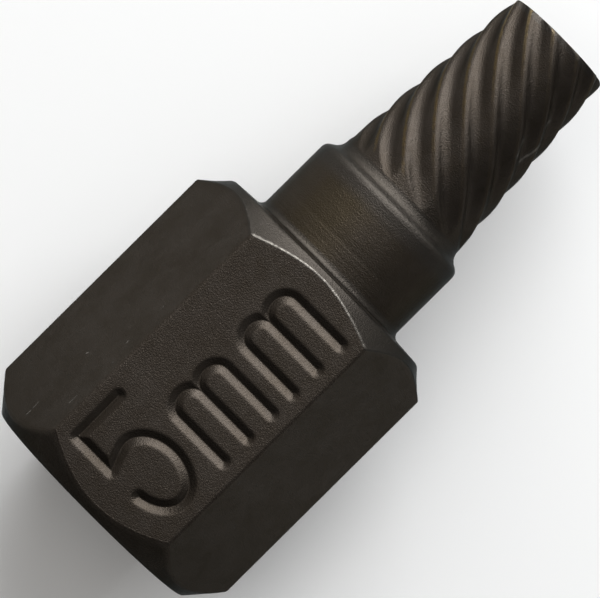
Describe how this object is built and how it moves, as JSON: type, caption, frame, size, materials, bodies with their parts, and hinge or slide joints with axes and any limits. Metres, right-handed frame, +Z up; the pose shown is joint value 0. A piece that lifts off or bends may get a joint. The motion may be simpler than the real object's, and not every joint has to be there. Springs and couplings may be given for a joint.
{
  "type": "screw extractor",
  "caption": "Screw extractor in one piece: a chamfered hexagonal head, a round collar and a tapered nose with left-hand spiral splines.",
  "frame": {"origin": "centre of the hexagonal head's flat end face, on the tool's axis", "axes": "+X along the tool's axis from the head to the biting tip; +Z up through the middle of the upper flat, with the tool lying on the flat opposite; +Y completes the right-handed frame"},
  "size_m": [0.024, 0.0116, 0.01],
  "materials": {
    "dark_steel": "dark phosphate over forged and turned steel, satin, with brighter worn edges"
  },
  "bodies": {
    "root": {"screw_extractor": "dark_steel"}
  },
  "joints": []
}
